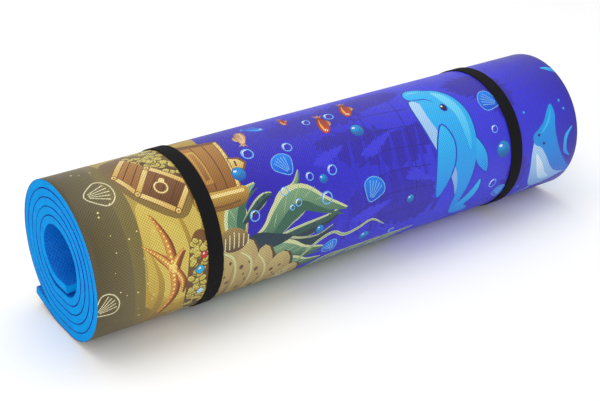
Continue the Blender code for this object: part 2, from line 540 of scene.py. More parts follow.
def plank_box(corners, planks, low, high):
    """A wooden panel with dark gaps between its planks. Corners run round from the lower left."""
    a, b, c, d = (np.array(p, float) for p in corners)
    parts = [shape([a, b, c, d], low, high)]
    for i in range(1, planks):
        t = i / planks
        parts.append(stroke([a + (b - a) * t, d + (c - d) * t], [1.1], "wood_dark", steps=1))
    return parts


def open_chest(random):
    """The chest that spills its coins on the left of the left strap."""
    low, near, far, left, top = (-236, 206), (-206, 180), (-185, 203), (-247, 232), (-224, 260)
    inner = (-213, 234)
    parts = [blob([(-250, 258), (-226, 272), (-196, 270), (-182, 240), (-184, 196), (-204, 172),
                   (-238, 196), (-252, 226)], "sand_dark", "rock_spot"),
             shape([low, near, far, (-190, 236), top, left], "wood_dark")]
    parts += coin_heap((-220, -188), (232, 284), 50, random, 4.8)
    parts += coin_heap((-208, -186), (216, 262), 34, random, 4.8)
    parts += plank_box([low, near, far, inner], 4, "wood_dark", "wood")
    parts += plank_box([left, low, inner, top], 3, "wood", "wood_pale")
    for edge in ((low, near), (near, far), (low, left), (low, inner), (inner, far), (left, top)):
        parts.append(stroke(edge, [6.4], "brass_dark", steps=1))
        parts.append(stroke(edge, [4.6], "brass", "brass_pale", steps=1))
    for corner in (low, near, far, inner, left):
        parts += [disc(*corner, 3.6, "brass_dark", corners=10),
                  disc(*corner, 2.6, "brass", "brass_pale", corners=10),
                  disc(*corner, 0.9, "brass_dark", corners=7)]
    parts += ring(-212, 207, 6.5, 3.0, "brass_dark")
    parts += ring(-212, 207, 6.2, 1.6, "brass_pale")
    parts.append(disc(-208, 214, 3, "brass_pale", corners=8))
    return parts


def closed_chest():
    """The chest with the planked lid on the right of the left strap."""
    lid = [(-184, 190), (-139, 187), (-135, 244), (-184, 250)]
    parts = [shape([(-190, 180), (-136, 182), (-130, 248), (-184, 260)], "brass_dark")]
    parts += plank_box(lid, 4, "wood", "wood_pale")
    parts.append(shape([(-170, 196), (-161, 196), (-160, 240), (-169, 241)], "wood_pale", "brass"))
    parts.append(shape([(-168, 200), (-163, 200), (-162, 236), (-167, 237)], "wood", "wood_pale"))
    parts.append(stroke([(-139, 186), (-136, 214), (-133, 246)], [5.0], "brass_dark", steps=2))
    parts.append(stroke([(-139, 186), (-136, 214), (-133, 246)], [3.0], "brass_pale", steps=2))
    for i in range(9):
        parts.append(disc(-138.6 + i * 0.65, 189 + i * 6.6, 1.9, "brass", "brass_pale", corners=8))
    parts.append(blob([(-186, 188), (-160, 187), (-134, 186), (-131, 178), (-140, 169), (-160, 168),
                       (-186, 172)], "brass_dark", "brass"))
    parts.append(stroke([(-184, 184), (-160, 183), (-135, 182)], [3.4], "brass_pale"))
    parts.append(stroke([(-180, 174), (-160, 172), (-142, 173)], [2.0], "brass_dark"))
    parts.append(shape([(-137, 203), (-125, 201), (-119, 208), (-124, 216), (-136, 219)], "brass_dark"))
    parts.append(shape([(-136, 205), (-126, 203), (-122, 208), (-126, 214), (-135, 217)], "brass",
                       "brass_pale"))
    parts.append(stroke([(-131, 207), (-130, 213)], [1.8], "wood_dark", steps=1))
    return parts


def leaf(points, width, inner="leaf", dark="leaf_dark", edge="leaf_pale"):
    """A seaweed blade with a pale upper rim, a shaded lower side and slanting veins."""
    profile = np.array([0.16, 0.5, 0.84, 1.0, 0.92, 0.62, 0.3, 0.02])
    line = curve(points, closed=False, steps=5)
    side = directions(line)
    below = np.column_stack([side[:, 1], -side[:, 0]])
    parts = [stroke(line, width * profile, edge, "leaf_pale", steps=1),
             stroke(line + below * width * 0.06, (width * 0.86 - 1.2) * profile, dark, inner, steps=1),
             stroke(line + below * width * 0.24, width * 0.38 * profile, dark, steps=1)]
    for i in range(3, len(line) - 5, 3):
        spread = np.interp(i / len(line), np.linspace(0, 1, len(profile)), profile) * width
        tip = line[i] + side[i] * spread * 0.5 - below[i] * spread * 0.3
        parts.append(stroke([line[i], tip], [0.4, 1.3, 0.3], "leaf_vein" if inner == "leaf" else dark,
                            steps=2))
    return parts


def seaweed():
    """The big seaweed behind the rocks, right of the left strap."""
    parts = leaf([(-148, 132), (-118, 122), (-84, 124), (-52, 130), (-34, 138)], 18, "leaf_dark",
                 "leaf_deep", "leaf")
    parts += leaf([(-146, 124), (-112, 122), (-84, 112), (-62, 112), (-44, 122)], 16, "leaf_deep",
                  "leaf_deep", "leaf_dark")
    parts += leaf([(-158, 112), (-156, 138), (-152, 160), (-142, 176), (-122, 186)], 25)
    parts += leaf([(-146, 152), (-130, 162), (-116, 170), (-108, 172)], 11, "leaf_dark", "leaf_deep",
                  "leaf")
    parts += leaf([(-106, 138), (-106, 156), (-96, 166), (-82, 172), (-72, 186)], 12)
    parts += leaf([(-140, 130), (-118, 136), (-96, 152), (-76, 158), (-54, 148), (-26, 136)], 33)
    parts += leaf([(-142, 120), (-118, 114), (-98, 106), (-78, 100), (-52, 98)], 30)
    parts += leaf([(-118, 100), (-96, 90), (-74, 80), (-50, 80)], 22)
    parts.append(blob([(-150, 132), (-132, 138), (-112, 132), (-92, 124), (-112, 118), (-136, 120)],
                      "leaf_deep"))
    stem = [(-96, 64), (-84, 84), (-72, 98), (-58, 108), (-42, 112), (-28, 104), (-12, 106), (6, 112),
            (24, 100)]
    parts.append(stroke(stem, [1.6, 3.2, 3.4, 3.6, 3.0, 4.0, 3.6, 2.4, 1.0], "stem", "leaf_pale"))
    parts.append(stroke(stem, [0.4, 1.2, 1.4, 1.4, 1.2, 1.6, 1.2, 0.8, 0.4], "leaf", "leaf"))
    for x in (-62, -40, -16, 8, 30):
        parts += leaf([(x, 44), (x + 10, 62), (x + 24, 72), (x + 44, 76)], 12, "moss", "leaf",
                      "leaf_pale")
    return parts


def rocks():
    """The pitted rock columns at the foot of the seaweed."""
    parts = []
    columns = [(-168, 96, 17, 46, -6), (-146, 92, 15, 44, -4), (-128, 84, 14, 40, -6),
               (-108, 76, 17, 34, -10), (-90, 62, 14, 24, -12)]
    for x, v, half_x, half_v, turn in columns:
        parts.append(oval(x + 1.5, v - 2, half_x + 2.2, half_v + 2.4, "rock_dark", turn_deg=turn))
        parts.append(oval(x, v, half_x, half_v, "rock_spot", "rock_pale", turn))
        parts.append(oval(x - 2.5, v + 3, half_x * 0.68, half_v * 0.8, "rock", "rock_pale", turn))
        for dx, dv, size in ((-4, 14, 2.4), (4, -6, 2.0), (-2, -20, 2.8), (5, 18, 1.6), (0, 3, 1.4)):
            parts.append(oval(x + dx, v + dv * half_v / 44, size, size * 1.3, "rock_spot", "rock_dark",
                              turn, 9))
    folds = [[(-176, 130), (-160, 120), (-156, 96), (-158, 66)],
             [(-152, 124), (-140, 112), (-138, 86), (-142, 58)],
             [(-132, 116), (-122, 98), (-120, 74), (-126, 50)]]
    for fold in folds:
        parts.append(stroke(fold, [1.0, 2.6, 2.2, 1.0], "rock_pale", "leaf_pale"))
    parts.append(blob([(-176, 140), (-164, 150), (-150, 148), (-142, 138), (-150, 128), (-166, 128)],
                      "rock_dark", "rock"))
    for i in range(7):
        parts.append(stroke([(-174 + 5 * i, 130), (-172 + 5 * i, 146 - abs(i - 3) * 2)], [1.1],
                            "outline", steps=1))
    for i in range(8):
        turn = math.radians(40 + 24 * i)
        tip = (-92 + 13 * math.cos(turn), 64 + 13 * math.sin(turn))
        parts.append(stroke([(-92, 60), tip], [1.6, 0.8], "outline", steps=1))
    parts.append(blob([(-190, 52), (-150, 60), (-110, 54), (-70, 58), (-20, 50), (60, 40), (70, 26),
                       (-60, 24), (-190, 28)], "leaf_dark", "moss"))
    return parts


def bubble(x, v, radius):
    """A clear bubble: a round line with a glint."""
    parts = ring(x, v, radius, max(1.0, radius * 0.24), "bubble_blue")
    glint = placed([(-0.75, -0.2), (-0.5, 0.66), (0.3, 0.8)], x, v, radius)
    parts.append(stroke(glint, [0.5, 1.3, 0.5], "foam_white", steps=3))
    return parts


def ball(x, v, radius):
    """A solid round pearl of teal glass."""
    glow = (x - radius * 0.2, v + radius * 0.35, radius * 0.6, radius * 0.45)
    glint = (x - radius * 0.35, v + radius * 0.5, radius * 0.28, radius * 0.16)
    return [disc(x, v, radius * 1.08, "teal_dark"), disc(x, v, radius, "teal_dark", "teal"),
            oval(*glow, "teal", "azure", corners=12), oval(*glint, "foam_white", corners=9)]


FISH_BODY = [(0, -1.0), (0.3, -0.75), (0.38, -0.3), (0.28, 0.2), (0.12, 0.62), (-0.12, 0.62),
             (-0.26, 0.2), (-0.34, -0.3), (-0.26, -0.75)]
FISH_TAIL = [(0.0, 0.5), (0.36, 1.0), (0.1, 0.86), (0.0, 1.06), (-0.1, 0.86), (-0.36, 1.0)]
FISH_BACK = [(0.2, -0.5), (0.62, -0.1), (0.52, 0.25), (0.2, 0.35)]


def fish(x, v, size, turn_deg=0.0, body="fish_red", dark="fish_dark", fin="fish_gold"):
    """A small fish. Unturned, it swims down the print."""
    spot = (x, v, size, turn_deg)
    parts = [shape(placed(FISH_TAIL, *spot), dark, fin), blob(placed(FISH_BACK, *spot), fin,
                                                              dark),
             grown(placed(FISH_BODY, *spot), size * 0.06, dark),
             blob(placed(FISH_BODY, *spot), body, dark)]
    belly = [(-0.05, -0.86), (-0.2, -0.4), (-0.16, 0.1), (-0.04, 0.5), (-0.1, 0.0), (-0.02, -0.5)]
    parts.append(blob(placed(belly, *spot), fin))
    eye = placed([(0.08, -0.72)], *spot)[0]
    parts.append(disc(*eye, size * 0.11, "foam_white", corners=9))
    parts.append(disc(*eye, size * 0.06, "ink", corners=7))
    return parts


SCALLOP = [(0, -0.9), (0.35, -0.7), (0.95, 0.1), (0.85, 0.6), (0.45, 0.92), (0, 1.0), (-0.45, 0.92),
           (-0.85, 0.6), (-0.95, 0.1), (-0.35, -0.7)]


def scallop(x, v, size, turn_deg, fill, line):
    """A fan shell with ribs."""
    spot = (x, v, size, turn_deg)
    rim = placed(SCALLOP, *spot)
    if fill:
        parts = [grown(rim, 1.0, line), blob(rim, fill, "azure")]
    else:
        parts = [stroke(rim[:6], [1.2], line, steps=4),
                 stroke(np.vstack([rim[5:], rim[:1]]), [1.2], line, steps=4)]
    for spread in (-0.6, -0.3, 0.0, 0.3, 0.6):
        rib = placed([(spread * 0.25, -0.6), (spread, 0.78 - abs(spread) * 0.3)], *spot)
        parts.append(stroke(rib, [0.6, 1.2], line, steps=1))
    return parts


DOLPHIN = [(95, 236), (103, 245), (116, 243), (124, 238), (136, 232), (147, 217), (153, 196), (152, 172),
           (147, 148), (139, 124), (130, 102), (125, 88), (118, 90), (119, 108), (119, 128), (115, 148),
           (110, 166), (105, 184), (102, 200), (103, 214), (104, 222), (98, 226)]
DOLPHIN_BELLY = [(98, 226), (104, 220), (103, 206), (105, 188), (110, 168), (116, 148), (120, 126),
                 (119, 108), (114, 122), (107, 140), (99, 156), (93, 174), (90, 194), (90, 212),
                 (93, 224)]
FLIPPER = [(114, 188), (104, 178), (96, 160), (91, 140), (90, 120), (93, 112), (101, 120), (110, 134),
           (118, 150), (121, 170)]
DORSAL_FIN = [(148, 166), (157, 156), (162, 142), (161, 126), (154, 130), (146, 142)]
FLUKES = [(120, 92), (126, 92), (134, 98), (144, 108), (153, 118), (153, 106), (147, 94), (140, 86),
          (146, 80), (151, 72), (142, 70), (130, 72), (121, 80)]


def dolphin():
    """A leaping dolphin, drawn plainly."""
    parts = []
    for outline in (FLUKES, DORSAL_FIN, DOLPHIN_BELLY, DOLPHIN):
        parts.append(grown(outline, 2.2, "dolphin_line"))
    parts += [blob(FLUKES, "dolphin_mid", "dolphin"), blob(DORSAL_FIN, "dolphin_mid", "dolphin"),
              blob(DOLPHIN_BELLY, "belly_shade", "belly"), blob(DOLPHIN, "dolphin_mid", "dolphin")]
    parts.append(blob([(128, 232), (140, 222), (147, 200), (146, 176), (141, 154), (138, 172),
                       (137, 196), (131, 216)], "dolphin", "dolphin_shine"))
    parts.append(grown(FLIPPER, 1.8, "dolphin_line"))
    parts.append(blob(FLIPPER, "dolphin_mid", "dolphin"))
    parts.append(stroke([(97, 229), (106, 226), (115, 224), (121, 218)], [0.8, 1.8, 1.6, 0.8],
                        "dolphin_line"))
    parts.append(stroke([(99, 239), (108, 240), (117, 237)], [0.5, 2.2, 0.5], "dolphin_shine"))
    parts.append(oval(128, 207, 4.6, 5.2, "dolphin_line"))
    parts.append(oval(128, 207, 3.6, 4.2, "ink"))
    parts.append(disc(126.6, 209, 1.3, "foam_white", corners=8))
    return parts


RAY_TOP = [(232, 148), (240, 153), (250, 160), (259, 171), (267, 177), (269, 166), (266, 152),
           (267, 138), (273, 122), (283, 108), (296, 94), (306, 84), (292, 86), (276, 92), (263, 104),
           (252, 120), (243, 132), (233, 138)]
RAY_BELLY = [(233, 142), (229, 126), (231, 106), (236, 88), (245, 76), (258, 72), (274, 76), (292, 84),
             (304, 84), (288, 94), (272, 106), (260, 120), (250, 132), (241, 140)]


def ray():
    """A ray, with its pale underside turned down."""
    parts = [stroke([(252, 76), (240, 66), (228, 60), (214, 52)], [4.0, 2.4, 1.4, 0.6], "belly")]
    parts.append(grown(RAY_BELLY, 1.4, "dolphin_line"))
    parts.append(grown(RAY_TOP, 1.6, "dolphin_line"))
    parts.append(blob(RAY_BELLY, "belly_shade", "belly"))
    parts.append(blob([(236, 126), (242, 104), (254, 86), (270, 84), (258, 96), (248, 112)], "belly",
                      "foam_white"))
    parts.append(blob(RAY_TOP, "ray_dark", "ray"))
    parts.append(stroke([(244, 148), (256, 158), (264, 170)], [1.0, 3.4, 0.6], "dolphin"))
    for x, v in ((240, 147), (247, 136)):
        parts.append(oval(x, v, 2.3, 1.8, "dolphin_line", corners=10))
        parts.append(oval(x, v, 1.3, 1.1, "ink", corners=8))
    return parts


FAR_ARCHES = [[(-84, 232), (-50, 250), (10, 258), (70, 262), (96, 250), (80, 238), (40, 232), (10, 220),
               (-20, 224), (-52, 220)], [(-40, 206), (-6, 212), (30, 208), (58, 196), (96, 200),
                                         (92, 176), (60, 160), (20, 168),
                                         (-16, 176)], [(-30, 140), (10, 152), (40, 160), (66, 150),
                                                       (88, 128), (80, 100), (50, 92), (20, 104),
                                                       (-10, 116)],
              [(150, 236), (176, 246), (206, 240), (222, 214), (216, 186), (196, 178), (180, 204),
               (160, 216)], [(196, 120), (214, 132), (226, 108), (216, 76), (196, 62), (186, 88)]]


def far_shapes():
    """Dim rock arches, weed and rope in the distance, a little darker than the water."""
    parts = []
    for i, outline in enumerate(FAR_ARCHES):
        parts.append(ragged(outline, 3.4, "shadow", "water_deep" if i % 2 else "shadow"))
    for i in range(9):
        x = -46 + 17 * i
        parts.append(stroke([(x, 96), (x + 6, 130), (x + 2, 168), (x + 9, 200)], [6, 4, 5, 1], "shadow",
                            "water_mid"))
    for i in range(6):
        v = 104 + 22 * i
        parts.append(stroke([(-20 + 6 * i, v), (30, v + 9), (84, v + 4)], [0.9], "shadow_line", steps=3))
    for x in (12, 58, 88):
        parts.append(stroke([(x, 92), (x + 16, 240)], [1.2], "shadow_line", steps=1))
    for x, v, reach, rise in ((4, 182, 46, 16), (-52, 186, 40, 10), (50, 146, 38, -10),
                              (-20, 118, 50, 10), (104, 150, 30, 22)):
        patch = [(x, v), (x + reach * 0.3, v + 8), (x + reach * 0.7, v + 4 + rise * 0.6),
                 (x + reach, v + rise), (x + reach * 0.6, v - 4 + rise * 0.4), (x + reach * 0.3, v - 5)]
        parts.append(ragged(patch, 1.6, "glow", "glow"))
    return parts


RINGS = [(-113, 217, 6), (-70, 212, 5), (-62, 176, 4), (-35, 176, 5), (-94, 169, 4), (-132, 155, 5),
         (-82, 155, 3.5), (-90, 152, 2.5), (-49, 151, 6), (-30, 238, 4), (-2, 238, 5), (40, 83, 3.5),
         (179, 168, 4), (174, 106, 5)]
BALLS = [(-133, 198, 7), (14, 209, 7), (-48, 170, 4.5), (-60, 121, 4.5), (55, 122, 4.5), (1, 91, 6),
         (186, 144, 9)]


def front_scene(random):
    """The motifs on the front and the top of the roll."""
    parts = far_shapes() + seaweed() + rocks()
    parts += open_chest(random) + closed_chest()
    parts.append(blob([(-204, 66), (-188, 62), (-182, 100), (-184, 150), (-196, 158), (-206, 140),
                       (-210, 100)], "rock_dark", "brass_dark"))
    parts += coin_heap((-205, -186), (68, 152), 62, random, 4.6)
    for x, v, size, ink in ((-196, 120, 4.6, "turquoise"), (-191, 134, 3.6, "ruby"),
                            (-193, 92, 4.0, "ice")):
        parts += gem(x, v, size, ink)
    tips = [(-235, 184, 3), (-250, 158, 2), (-211, 146, -2), (-214, 100, 4), (-235, 74, 6)]
    parts += starfish(-224, 130, tips, 9)
    for x, v, radius in RINGS:
        parts += bubble(x, v, radius)
    for x, v, radius in BALLS:
        parts += ball(x, v, radius)
    parts += fish(-50, 252, 9, -12) + fish(-16, 230, 15, -14) + fish(22, 244, 15, -20)
    parts += fish(-106, 240, 14, 160, "fish_cream", "fish_brown", "fish_cream")
    parts += fish(-86, 252, 12, 60, "azure", "azure_dark", "dolphin")
    for x, v, size, turn in ((-84, 194, 12, 20), (8, 144, 13, -30), (-42, 92, 9, 40), (188, 200, 13, 60),
                             (190, 88, 9, 10)):
        parts += scallop(x, v, size, turn, "azure_dark", "bubble_blue")
    parts += scallop(-270, 218, 15, -90, None, "outline")
    parts += scallop(-292, 112, 13, -60, None, "outline")
    parts += dolphin() + ray()
    parts.append(stroke([(292, 146), (282, 136), (282, 120), (292, 110)], [1, 5, 5, 1], "azure",
                        "dolphin"))
    parts.append(stroke([(286, 224), (294, 220), (303, 212)], [1, 6, 5], "azure", "dolphin"))
    for x, v in ((281, 178), (284, 168), (226, 176), (222, 84)):
        parts.append(disc(x, v, 1.5, "dolphin", corners=8))
    return parts


def reef(low_v, high_v, random):
    """Rocks and weed that grow from the sand towards +X, over a stretch of the print."""
    parts = [ragged([(-60, v), (-20, v + 16), (60, v + 6), (90, v + 30), (20, v + 44), (-40, v + 34)],
                    3.0, "shadow", "shadow") for v in np.arange(low_v, high_v - 50, 62)]
    for v in np.arange(low_v, high_v, 24):
        reach, sway = random.uniform(50, 110), random.uniform(-12, 12)
        points = [(-158, v), (-140, v + sway * 0.4), (-158 + reach * 0.55, v + sway),
                  (-158 + reach, v - sway)]
        parts += leaf(points, random.uniform(15, 24))
    for v in np.arange(low_v, high_v, 19):
        x, half_x, turn = random.uniform(-158, -144), random.uniform(11, 17), random.uniform(-14, 14)
        parts.append(oval(x + 1.5, v - 1.5, half_x + 2, 15, "rock_dark", turn_deg=turn))
        parts.append(oval(x, v, half_x, 13.4, "rock_spot", "rock_pale", turn))
        parts.append(oval(x - 2, v + 1.5, half_x * 0.7, 9.5, "rock", "rock_pale", turn))
        for dx, dv, size in ((-4, 4, 1.8), (4, -3, 2.2), (1, 6, 1.4)):
            parts.append(disc(x + dx, v + dv, size, "rock_spot", "rock_dark", 9))
    return parts


def back_scene(low_v, high_v, random):
    """The motifs on the underside and the back, which carry on the same sea."""
    parts = []
    for low, high in ((low_v + 10, 24), (292, high_v - 10)):
        parts += reef(low, high, random)
        for _ in range(18):
            x, v = random.uniform(-90, 285), random.uniform(low, high)
            parts += bubble(x, v, random.uniform(2.5, 5.5))
    for i in range(7):
        x, v = 96 + 17 * (i % 4) + 5 * (i // 4), 352 + 17 * i
        parts += fish(x, v, 13 + i % 3, 6 * (i % 3) - 6)
    for x, v, size, turn in ((-40, 404, 17, 180), (-12, 436, 14, 172), (232, 330, 15, 184),
                             (248, 452, 12, 0), (120, 8, 13, 0), (170, -14, 11, 6), (-40, -20, 12, 180)):
        parts += fish(x, v, size, turn, "fish_cream", "fish_brown", "fish_gold")
    parts += starfish(-214, 396, [(-236, 420, 2), (-242, 386, 0), (-216, 366, 2), (-192, 384, 0),
                                  (-196, 418, -2)], 8)
    parts += scallop(-206, 446, 12, -70, None, "outline") + scallop(-216, 330, 12, -110, None, "outline")
    parts += scallop(-206, 6, 12, -90, None, "outline")
    parts += coin_heap((-200, -176), (336, 366), 26, random, 4.4)
    for x, v in ((60, 444), (190, 392), (20, 350), (60, -30), (230, -20)):
        parts += ball(x, v, 6)
    return parts


def print_shapes(low_v, high_v):
    """Every patch of ink over the water, the later ones on top."""
    random = np.random.default_rng(PRINT_SEED)
    ground = seabed(low_v, high_v) + specks(low_v, high_v, random)
    return ground + back_scene(low_v, high_v, random) + front_scene(random)


# ---------------------------------------------------------------- inks to colours

def linear(rgb):
    """Scene-linear values of an 8-bit sRGB colour."""
    value = np.array(rgb, float) / 255
    return np.where(value <= 0.04045, value / 12.92, ((value + 0.055) / 1.055) ** 2.4)


def colour(ink):
    """A shader colour from a named ink or an 8-bit sRGB triple."""
    rgb = INKS[ink] if isinstance(ink, str) else ink
    return (*linear(rgb), 1.0)


def water_colours(places):
    """The sea's colour at places on the print, from violet at the left to blue and back."""
    stops = [-150, 0, 120, 230, 300]
    names = ("water_left", "water_mid", "water_right", "water_mid", "water_deep")
    inks = [linear(INKS[name]) for name in names]
    wander = 14 * np.sin(places[:, 1] / 37) + 9 * np.sin(places[:, 1] / 13 + places[:, 0] / 60)
    across = places[:, 0] + wander
    return np.column_stack([np.interp(across, stops, [ink[c] for ink in inks]) for c in range(3)])


def patch_colours(patch, places):
    """One patch's colour at places on the print."""
    ends = patch.outline[:, patch.axis].min(), patch.outline[:, patch.axis].max()
    share = np.clip((places[:, patch.axis] - ends[0]) / (ends[1] - ends[0]), 0, 1)[:, None]
    return linear(INKS[patch.low]) * (1 - share) + linear(INKS[patch.high]) * share


def border(low_v, high_v):
    """The outline of the printed sheet, with a corner at each step of the grid."""
    xs = np.linspace(-HALF_WIDTH, HALF_WIDTH, int(2 * HALF_WIDTH / GRID_ALONG) + 1)
    vs = np.linspace(low_v, high_v, int((high_v - low_v) / GRID_ROUND) + 1)
    edges = [[(x, low_v) for x in xs[:-1]], [(HALF_WIDTH, v) for v in vs[:-1]],
             [(x, high_v) for x in xs[:0:-1]], [(-HALF_WIDTH, v) for v in vs[:0:-1]]]
    inside = [(x, v) for x in xs[1:-1] for v in vs[1:-1]]
    return sum(edges, []), inside


def anticlockwise(outline):
    """An outline whose inside lies on its left, which the triangulation needs."""
    following = np.roll(outline, -1, axis=0)
    area = np.sum(outline[:, 0] * following[:, 1] - following[:, 0] * outline[:, 1])
    return outline if area > 0 else outline[::-1]


def bendable(outline):
    """The outline with steps short enough to follow the roll's curve."""
    line = []
    for a, b in zip(outline, np.roll(outline, -1, axis=0)):
        steps = 1 + int(abs(b[1] - a[1]) / GRID_ROUND + abs(b[0] - a[0]) / (3 * GRID_ALONG))
        line += [tuple(a + (b - a) * k / steps) for k in range(steps)]
    return line


def cut_print(low_v, high_v, patches):
    """Triangles of the flat sheet that follow every patch's edge, and the patch on top of each one."""
    rim, inside = border(low_v, high_v)
    points, faces = list(rim), [list(range(len(rim)))]
    for patch in patches:
        outline = bendable(anticlockwise(patch.outline))
        faces.append(list(range(len(points), len(points) + len(outline))))
        points += outline
    points += inside
    corners = [Vector(p) for p in points]
    result = delaunay_2d_cdt(corners, [], faces, TRIANGLES_INSIDE, MERGE_DISTANCE, True)
    kept = [(face, max(owners)) for face, owners in zip(result[2], result[5]) if 0 in owners]
    used, triangles = np.unique([face for face, _ in kept], return_inverse=True)
    places = np.array([tuple(p) for p in result[0]])[used]
    return places, triangles.reshape(-1, 3), np.array([owner for _, owner in kept])


def triangle_colours(places, triangles, owners, patches):
    """A colour for each corner of each triangle."""
    corners = places[triangles.ravel()]
    colours = water_colours(corners)
    corner_owners = np.repeat(owners, 3)
    for i, patch in enumerate(patches):
        mine = corner_owners == i + 1
        if mine.any():
            colours[mine] = patch_colours(patch, corners[mine])
    return colours


# ---------------------------------------------------------------- the pieces

def rim_edges(triangles):
    """The edges that only one triangle uses, in its direction, and the triangle's index."""
    edges = np.vstack([triangles[:, [0, 1]], triangles[:, [1, 2]], triangles[:, [2, 0]]])
    owners = np.tile(np.arange(len(triangles)), 3)
    _, first, counts = np.unique(np.sort(edges, axis=1), axis=0, return_index=True, return_counts=True)
    alone = first[counts == 1]
    return edges[alone], owners[alone]


def plain_underside(places, triangles):
    """An uncut underside with the same rim: places, triangles, and the upper vertex at each rim place."""
    edges, _ = rim_edges(triangles)
    following = {int(a): int(b) for a, b in edges}
    rim = [int(edges[0, 0])]
    while following[rim[-1]] != rim[0]:
        rim.append(following[rim[-1]])
    outline = places[rim]
    _, inside = border(outline[:, 1].min(), outline[:, 1].max())
    points = [Vector(p) for p in (*outline, *inside)]
    face = list(range(len(rim)))
    result = delaunay_2d_cdt(points, [], [face], TRIANGLES_INSIDE, MERGE_DISTANCE, True)
    sources = np.array([numbers[0] for numbers in result[3]])
    return np.array([tuple(p) for p in points]), sources[np.array(result[2])], rim


def make_outer_film(section):
    """The film of the tail and the outermost turn: a thin closed skin with its print in the mesh."""
    origin = section.distance_at(math.pi / 2) - PRINT_MIDDLE * MM
    low_v = -origin / MM
    high_v = (section.distance_at(math.radians(SEAM_DEG)) - origin) / MM
    patches = print_shapes(low_v, high_v)
    upper, triangles, owners = cut_print(low_v, high_v, patches)
    lower, lower_triangles, rim = plain_underside(upper, triangles)
    count = len(upper)
    below = np.zeros(count, int)
    below[rim] = count + np.arange(len(rim))
    edges, edge_owners = rim_edges(triangles)
    rims = np.column_stack([edges[:, 1], edges[:, 0], below[edges[:, 0]], below[edges[:, 1]]])
    lower_triangles = lower_triangles[:, ::-1]
    faces = list(triangles) + list(lower_triangles + count) + list(rims)
    places = np.vstack([upper, lower])
    distance = np.clip(places[:, 1] * MM + origin, 0, None)
    y, z = section.place(distance, np.repeat([0.0, SKIN_THICKNESS], [count, len(lower)]))
    film = mesh_object("printed_film_outer", np.column_stack([places[:, 0] * MM, y, z]), faces)
    mesh = film.data
    colours = triangle_colours(upper, triangles, owners, patches)
    lower_colours = water_colours(lower[lower_triangles.ravel()])
    edge_colours = np.repeat(colours.reshape(-1, 3, 3)[edge_owners].mean(axis=1) * 0.5, 4, axis=0)
    every = np.vstack([colours, lower_colours, edge_colours])
    paint = mesh.color_attributes.new("print", "FLOAT_COLOR", "CORNER")
    opaque = np.column_stack([every, np.ones(len(every))]).astype(np.float32)
    paint.data.foreach_set("color", opaque.ravel())
    smooth = np.ones(len(faces), bool)
    smooth[-len(rims):] = False
    mesh.polygons.foreach_set("use_smooth", smooth)
    add_uv(mesh, np.column_stack([places[:, 0] * MM, distance]))
    return film


def make_inner_film(section):
    """The film on the rest of the sheet, of which only the edges show between the wraps."""
    first = section.distance_at(math.radians(SEAM_DEG)) + SEAM_GAP
    distances = np.linspace(first, section.length, INNER_FILM_RINGS)
    half = PAD_WIDTH / 2
    ring_x = np.array([-half, -half / 2, 0, half / 2, half, half, half / 2, 0, -half / 2, -half])
    depths = np.array([0.0] * 5 + [SKIN_THICKNESS] * 5)
    rings, flat = [], []
    for distance in distances:
        y, z = section.place(np.full(len(ring_x), distance), depths)
        rings.append(np.column_stack([ring_x, y, z]))
        flat += [(x, distance) for x in ring_x]
    film = mesh_object("printed_film_inner", np.vstack(rings), loft(rings))
    add_uv(film.data, flat)
    sharp_long_edges(film.data, len(ring_x), (0, 4, 5, 9))
    return film


def sharp_long_edges(mesh, size, columns):
    """Marks the lengthwise edges at some places round each ring as sharp."""
    for edge in mesh.edges:
        a, b = sorted(edge.vertices)
        if b - a == size and a % size in columns:
            edge.use_edge_sharp = True


def foam_profile():
    """The foam's outline across its width: (x, depth), and whether each side is a cut face."""
    half, corner = PAD_WIDTH / 2, FOAM_EDGE_RADIUS
    top = [(x, FOAM_TOP) for x in np.linspace(half - corner, -half + corner, FOAM_SPANS + 1)]
    bottom = [(x, FOAM_BOTTOM) for x in np.linspace(-half + corner, half - corner, FOAM_SPANS + 1)]
    turns = np.radians([22.5, 45.0, 67.5])
    sides = []
    for sign in (-1, 1):
        edge = sign * (half - corner)
        upper = [(edge + sign * corner * math.sin(a), FOAM_TOP + corner * (1 - math.cos(a)))
                 for a in turns]
        lower = [(edge + sign * corner * math.sin(a), FOAM_BOTTOM - corner * (1 - math.cos(a)))
                 for a in turns[::-1]]
        straight = [(sign * half, d) for d in np.linspace(FOAM_TOP + corner, FOAM_BOTTOM - corner, 5)]
        side = upper + straight + lower
        sides.append(side if sign < 0 else side[::-1])
    profile = top + sides[0] + bottom + sides[1]
    cut = []
    for side in sides:
        cut += [False] * FOAM_SPANS + [True] * (len(side) + 1)
    return np.array(profile), cut


def make_foam(section):
    """The foam sheet, slightly uneven. Its first material is the skin and its second the cut face."""
    profile, cut = foam_profile()
    distances = np.interp(np.linspace(0, 1, FOAM_RINGS), np.linspace(0, 1, len(section.distances)),
                          section.distances)
    half, middle = PAD_WIDTH / 2, (FOAM_TOP + FOAM_BOTTOM) / 2
    rings, flat = [], []
    for distance in distances:
        x = profile[:, 0].copy()
        at_end = np.abs(x) > half - 1.5 * FOAM_EDGE_RADIUS
        x[at_end] -= np.sign(x[at_end]) * END_WAVINESS * (0.5 + 0.5 * waviness(distance, x[at_end]))
        depth = profile[:, 1].copy()
        depth[depth > middle] -= FOAM_THINNING * (0.5 + 0.5 * waviness(distance, 2.0))
        y, z = section.place(np.full(len(x), distance), depth)
        rings.append(np.column_stack([x, y, z]))
        flat += list(zip(np.where(at_end, depth + x, x), np.full(len(x), distance)))
    foam = mesh_object("foam_pad_roll", np.vstack(rings), loft(rings))
    foam.data.flip_normals()
    materials = np.array([int(c) for c in cut] * (len(rings) - 1) + [1, 1], np.int32)
    foam.data.materials.append(foam_skin_material())
    foam.data.materials.append(foam_cut_material())
    foam.data.polygons.foreach_set("material_index", materials)
    add_uv(foam.data, flat)
    return foam


